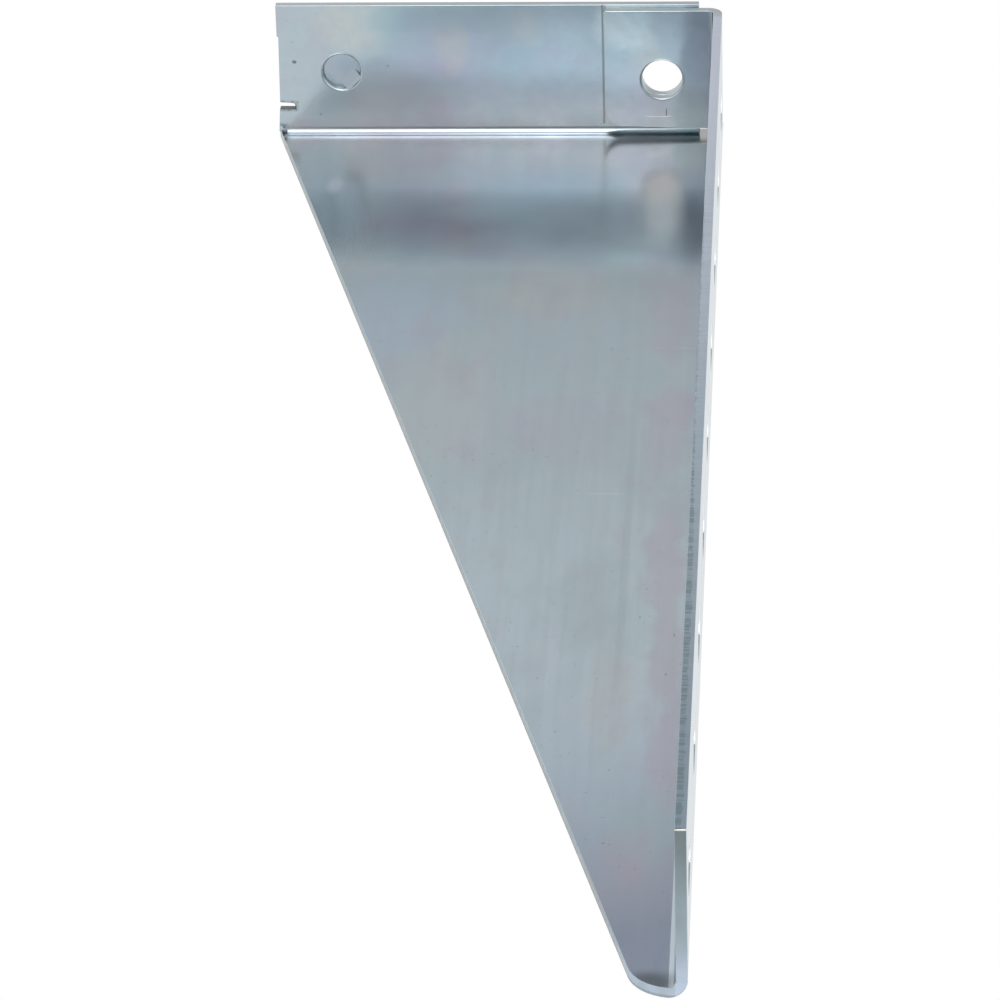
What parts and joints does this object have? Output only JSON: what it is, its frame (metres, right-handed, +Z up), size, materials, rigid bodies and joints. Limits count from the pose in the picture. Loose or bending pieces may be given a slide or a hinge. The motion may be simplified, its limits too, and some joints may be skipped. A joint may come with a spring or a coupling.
{
  "type": "slotted shelf bracket",
  "caption": "Right-angled shelf bracket folded from one steel sheet: slotted arm, tapering web, and wall plate with a folded tab under one bolt hole.",
  "frame": {"origin": "centre of the bolt hole on the wall face of the plate", "axes": "+X out from the wall along the arm, +Z up towards the shelf, +Y towards the back of the web"},
  "size_m": [0.3601, 0.0327, 0.0999],
  "materials": {
    "zinc_plated_steel": "bright zinc plate with a pale blue passivate, faintly clouded"
  },
  "bodies": {
    "root": {"bracket": "zinc_plated_steel"}
  },
  "joints": []
}
